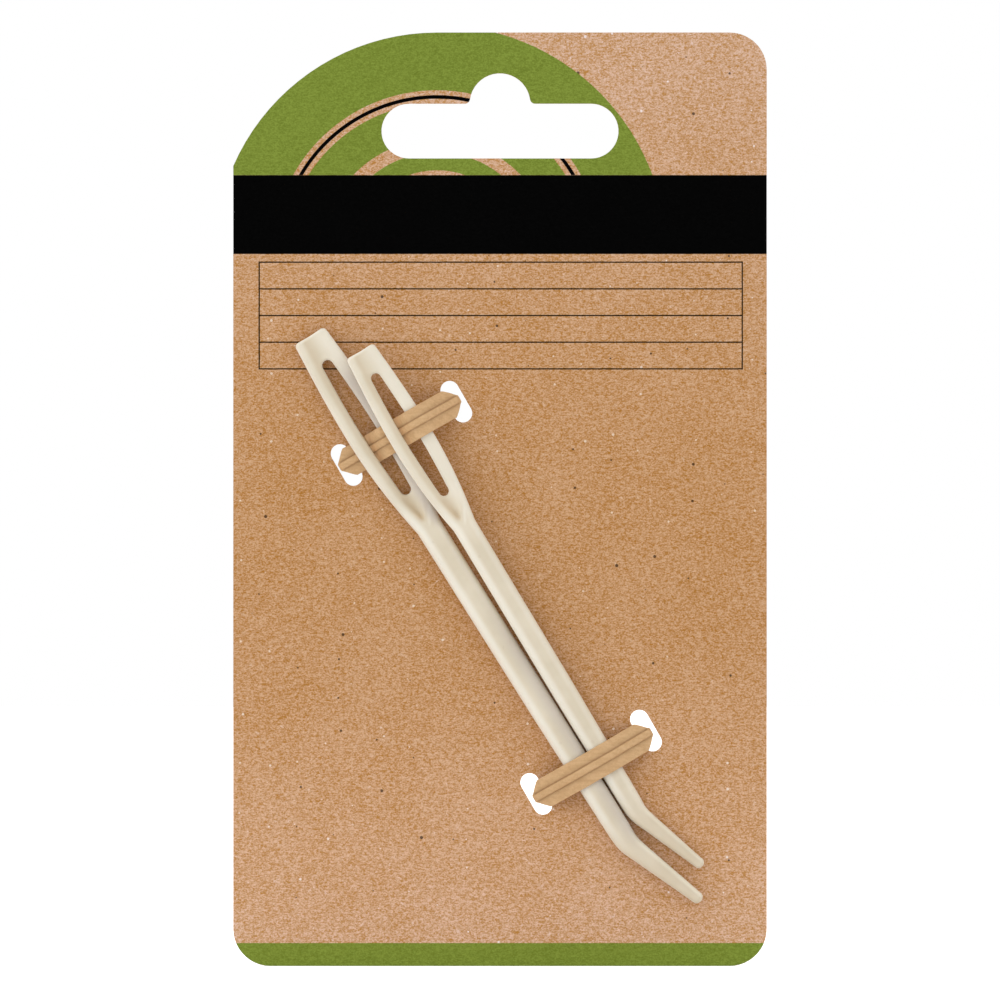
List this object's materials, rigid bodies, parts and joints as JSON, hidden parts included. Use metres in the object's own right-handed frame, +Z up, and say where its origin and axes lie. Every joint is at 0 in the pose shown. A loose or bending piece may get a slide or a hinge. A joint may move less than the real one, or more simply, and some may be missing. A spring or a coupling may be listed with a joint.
{
  "type": "yarn needle pair on hang card",
  "caption": "Bent-tip plastic yarn needles in a large and a small size, woven onto a kraft hang card with paper-covered wire twist ties.",
  "frame": {"origin": "centre of the hang slot's hump, in the middle of the card's thickness", "axes": "+Z up the card, -Y out of its printed front, +X to the right as seen from the front"},
  "size_m": [0.072, 0.0086, 0.126],
  "materials": {
    "kraft_board": "uncoated kraft board, printed on the front",
    "kraft_paper": "matt kraft paper",
    "tie_wire": "soft galvanised wire",
    "needle_plastic": "cream moulded plastic, satin"
  },
  "bodies": {
    "card": {"backing_card": "kraft_board", "upper_tie_paper": "kraft_paper", "upper_tie_wire": "tie_wire", "lower_tie_paper": "kraft_paper", "lower_tie_wire": "tie_wire"},
    "large_needle": {"large_needle": "needle_plastic"},
    "small_needle": {"small_needle": "needle_plastic"}
  },
  "joints": [
    {"name": "large_needle_slide", "type": "slide", "parent": "card", "child": "large_needle", "axis": [0.5314, 0, -0.8471], "range_m": [-0.002, 0.008]},
    {"name": "small_needle_slide", "type": "slide", "parent": "card", "child": "small_needle", "axis": [0.5147, 0.0375, -0.8566], "range_m": [-0.004, 0.002]}
  ]
}
